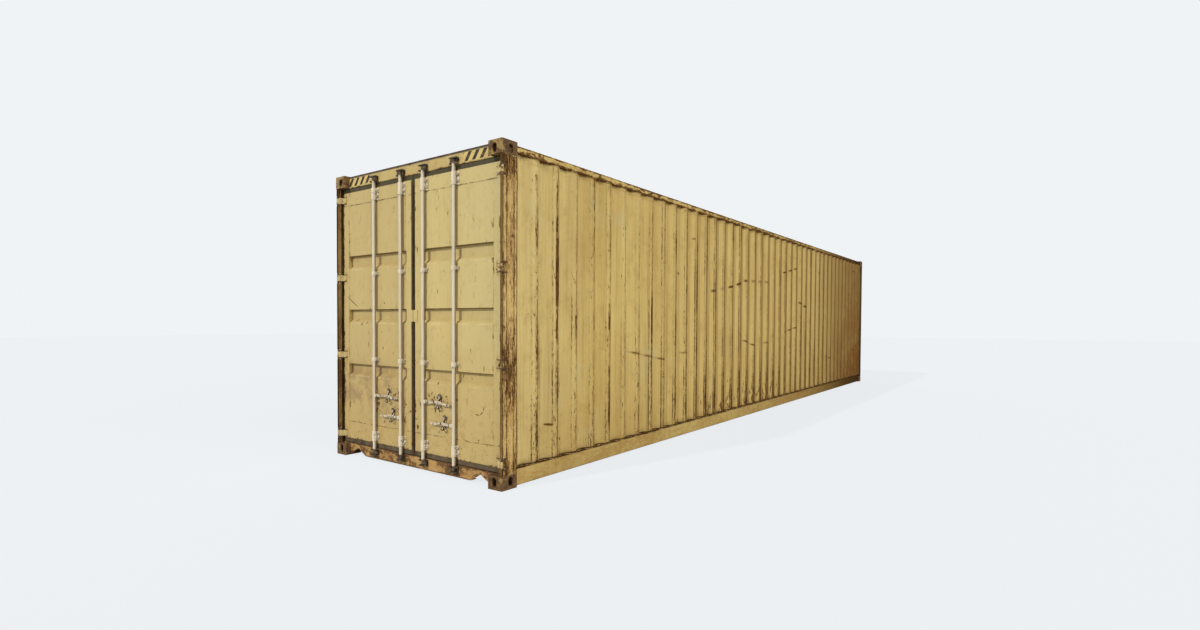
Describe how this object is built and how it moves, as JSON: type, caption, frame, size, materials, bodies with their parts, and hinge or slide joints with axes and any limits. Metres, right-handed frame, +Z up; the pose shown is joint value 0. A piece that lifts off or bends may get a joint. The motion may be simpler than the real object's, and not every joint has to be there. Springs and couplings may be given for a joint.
{
  "type": "shipping container",
  "caption": "Long corrugated steel freight container with double end doors, four lock rods, folding handles, corner castings, plywood floor and a gooseneck tunnel",
  "frame": {"origin": "centre of the footprint, on the ground", "axes": "+X runs along the container from the doors to the front end, +Y to the left seen facing the doors, +Z up"},
  "size_m": [12.192, 2.438, 2.896],
  "materials": {
    "painted_steel": "faded yellow paint, chalky, scratched",
    "post_steel": "yellow paint mostly turned to brown rust",
    "casting_steel": "rough brown rust",
    "door_paint": "faded yellow paint with rust at the seams",
    "gasket_rubber": "grey weathered rubber",
    "lock_gear": "pale worn paint over galvanised steel",
    "keeper_steel": "dark rusted forging",
    "underframe_steel": "dark underbody coating",
    "plywood": "worn floor boards"
  },
  "bodies": {
    "container_body": {"corner_castings_door_end": "casting_steel", "corner_castings_front_end": "casting_steel", "door_post_left": "post_steel", "door_post_right": "post_steel", "front_post_left": "post_steel", "front_post_right": "post_steel", "door_header": "painted_steel", "door_sill": "post_steel", "front_top_rail": "painted_steel", "front_bottom_sill": "painted_steel", "top_side_rail_left": "post_steel", "top_side_rail_right": "post_steel", "bottom_side_rail_left": "painted_steel", "bottom_side_rail_right": "painted_steel", "side_wall_left": "painted_steel", "side_wall_right": "painted_steel", "front_end_wall": "painted_steel", "roof_panel": "painted_steel", "roof_corner_plates": "painted_steel", "cross_members": "underframe_steel", "gooseneck_tunnel": "underframe_steel", "floor_boards": "plywood", "hinge_lugs": "post_steel", "hinge_pins": "keeper_steel", "cam_keepers": "keeper_steel"},
    "left_door": {"left_door_frame": "door_paint", "left_door_panel": "door_paint", "left_door_gasket": "gasket_rubber", "left_hinge_blades": "door_paint", "left_rod_brackets": "lock_gear", "left_handle_catches": "lock_gear"},
    "right_door": {"right_door_frame": "door_paint", "right_door_panel": "door_paint", "right_door_gasket": "gasket_rubber", "right_hinge_blades": "door_paint", "right_rod_brackets": "lock_gear", "right_handle_catches": "lock_gear"},
    "left_outer_rod": {"left_outer_lock_rod": "lock_gear"},
    "left_outer_handle": {"left_outer_handle": "lock_gear"},
    "left_inner_rod": {"left_inner_lock_rod": "lock_gear"},
    "left_inner_handle": {"left_inner_handle": "lock_gear"},
    "right_inner_rod": {"right_inner_lock_rod": "lock_gear"},
    "right_inner_handle": {"right_inner_handle": "lock_gear"},
    "right_outer_rod": {"right_outer_lock_rod": "lock_gear"},
    "right_outer_handle": {"right_outer_handle": "lock_gear"}
  },
  "joints": [
    {"name": "left_door_swing", "type": "hinge", "parent": "container_body", "child": "left_door", "pos_m": [-6.0815, 1.2045, 1.446], "axis": [0, 0, -1], "range_deg": [0, 267]},
    {"name": "right_door_swing", "type": "hinge", "parent": "container_body", "child": "right_door", "pos_m": [-6.0815, -1.2045, 1.446], "axis": [0, 0, 1], "range_deg": [0, 267]},
    {"name": "left_outer_rod_turn", "type": "hinge", "parent": "left_door", "child": "left_outer_rod", "pos_m": [-6.065, 0.5935, 1.44], "axis": [0, 0, 1], "range_deg": [-110, 0]},
    {"name": "left_outer_handle_lift", "type": "hinge", "parent": "left_outer_rod", "child": "left_outer_handle", "pos_m": [-6.065, 0.5595, 0.66], "axis": [1, 0, 0], "range_deg": [-25, 0]},
    {"name": "left_inner_rod_turn", "type": "hinge", "parent": "left_door", "child": "left_inner_rod", "pos_m": [-6.065, 0.168, 1.44], "axis": [0, 0, -1], "range_deg": [-110, 0]},
    {"name": "left_inner_handle_lift", "type": "hinge", "parent": "left_inner_rod", "child": "left_inner_handle", "pos_m": [-6.065, 0.202, 0.475], "axis": [-1, 0, 0], "range_deg": [-25, 0]},
    {"name": "right_inner_rod_turn", "type": "hinge", "parent": "right_door", "child": "right_inner_rod", "pos_m": [-6.065, -0.168, 1.44], "axis": [0, 0, 1], "range_deg": [-110, 0]},
    {"name": "right_inner_handle_lift", "type": "hinge", "parent": "right_inner_rod", "child": "right_inner_handle", "pos_m": [-6.065, -0.202, 0.66], "axis": [1, 0, 0], "range_deg": [-25, 0]},
    {"name": "right_outer_rod_turn", "type": "hinge", "parent": "right_door", "child": "right_outer_rod", "pos_m": [-6.065, -0.5935, 1.44], "axis": [0, 0, -1], "range_deg": [-110, 0]},
    {"name": "right_outer_handle_lift", "type": "hinge", "parent": "right_outer_rod", "child": "right_outer_handle", "pos_m": [-6.065, -0.5595, 0.475], "axis": [-1, 0, 0], "range_deg": [-25, 0]}
  ]
}
